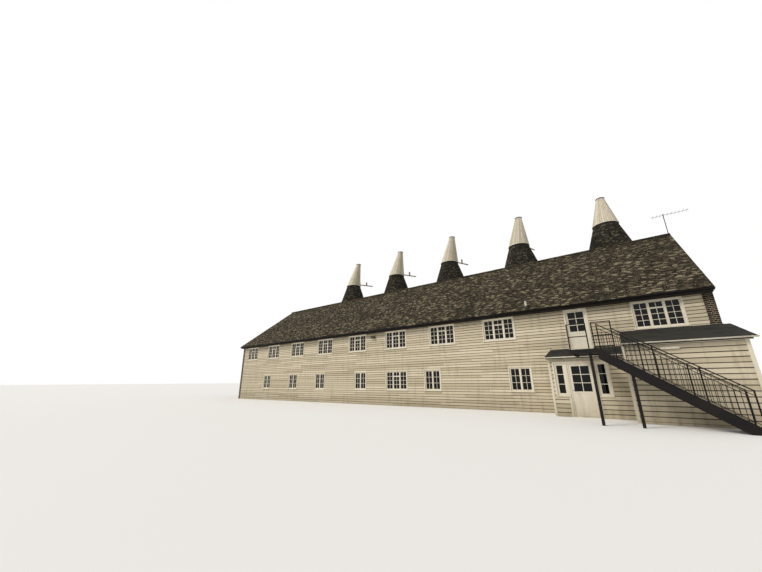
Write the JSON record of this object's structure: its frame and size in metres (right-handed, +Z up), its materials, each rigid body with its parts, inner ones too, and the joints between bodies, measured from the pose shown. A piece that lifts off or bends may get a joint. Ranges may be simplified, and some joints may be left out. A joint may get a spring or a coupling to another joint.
{
  "type": "oast house",
  "caption": "Long weatherboarded range with a lean-to porch and store, an outside steel stair and a row of round brick kilns with turning cowls behind.",
  "frame": {"origin": "under the middle of the main range, on the underside of its ground floor", "axes": "+X along the boarded front to the right as seen from outside, +Y from the front to the kilns, +Z up"},
  "size_m": [35.2298, 20.1298, 17.22],
  "materials": {
    "concrete": "rough concrete",
    "floorboards": "plain boards",
    "weatherboard": "cream paint, weathered",
    "brick": "dark stock brick with pale mortar",
    "clay_tile": "weathered plain clay tiles",
    "dark_timber": "dark stain",
    "gutter_plastic": "black, lean-tos white",
    "white_joinery": "white gloss paint",
    "window_glass": "clear",
    "roofing_felt": "smooth grey felt",
    "black_metal": "black",
    "black_steel": "black paint",
    "white_boards": "white paint",
    "aerial_metal": "dull",
    "white_plastic": "matt"
  },
  "bodies": {
    "house": {"ground_floor": "concrete", "first_floor": "floorboards", "front_wall_lower_left": "weatherboard", "front_wall_lower_right": "weatherboard", "doorway_lintel": "weatherboard", "front_wall_upper": "weatherboard", "rear_wall": "brick", "left_gable_wall": "brick", "right_gable_wall": "brick", "front_roof": "clay_tile", "rear_roof": "clay_tile", "ridge_tiles": "clay_tile", "eaves_boards": "dark_timber", "gutters": "gutter_plastic", "ground_window_frames": "white_joinery", "first_floor_window_frames": "white_joinery", "ground_window_glass": "window_glass", "first_floor_window_glass": "window_glass", "upper_door_frame": "white_joinery", "upper_door": "white_joinery", "upper_door_glass": "window_glass", "porch_front_wall": "weatherboard", "porch_front_head": "weatherboard", "porch_end_wall": "weatherboard", "porch_roof": "roofing_felt", "sidelight_frames": "white_joinery", "door_frame": "white_joinery", "store_front_wall": "weatherboard", "store_end_walls": "weatherboard", "store_roof": "roofing_felt", "landing_deck": "black_steel", "landing_railings": "black_steel", "stair_strings": "black_steel", "stair_treads": "black_steel", "stair_railings": "black_steel", "props": "black_steel", "kiln_walls": "brick", "kiln_roofs": "clay_tile", "kiln_curbs": "dark_timber", "aerial": "aerial_metal", "vent_pipe": "white_plastic", "wall_lamps": "black_metal"},
    "door_leaf": {"entrance_door": "white_joinery", "entrance_door_glass": "window_glass", "door_handles": "black_metal"},
    "turning_cowl_1": {"cowl_1": "white_boards", "vane_1": "white_boards"},
    "turning_cowl_2": {"cowl_2": "white_boards", "vane_2": "white_boards"},
    "turning_cowl_3": {"cowl_3": "white_boards", "vane_3": "white_boards"},
    "turning_cowl_4": {"cowl_4": "white_boards", "vane_4": "white_boards"},
    "turning_cowl_5": {"cowl_5": "white_boards", "vane_5": "white_boards"}
  },
  "joints": [
    {"name": "entrance_door_hinge", "type": "hinge", "parent": "house", "child": "door_leaf", "pos_m": [12.588, -6.925, 1.05], "axis": [0, 0, -1], "range_deg": [0, 95]},
    {"name": "cowl_1_turn", "type": "hinge", "parent": "house", "child": "turning_cowl_1", "pos_m": [-14.17, 7.6, 13.9], "axis": [0, 0, 1], "continuous": true},
    {"name": "cowl_2_turn", "type": "hinge", "parent": "house", "child": "turning_cowl_2", "pos_m": [-7.07, 7.6, 13.9], "axis": [0, 0, 1], "continuous": true},
    {"name": "cowl_3_turn", "type": "hinge", "parent": "house", "child": "turning_cowl_3", "pos_m": [0.05, 7.6, 13.9], "axis": [0, 0, 1], "continuous": true},
    {"name": "cowl_4_turn", "type": "hinge", "parent": "house", "child": "turning_cowl_4", "pos_m": [7.37, 7.6, 13.9], "axis": [0, 0, 1], "continuous": true},
    {"name": "cowl_5_turn", "type": "hinge", "parent": "house", "child": "turning_cowl_5", "pos_m": [14.35, 7.6, 13.9], "axis": [0, 0, 1], "continuous": true}
  ]
}
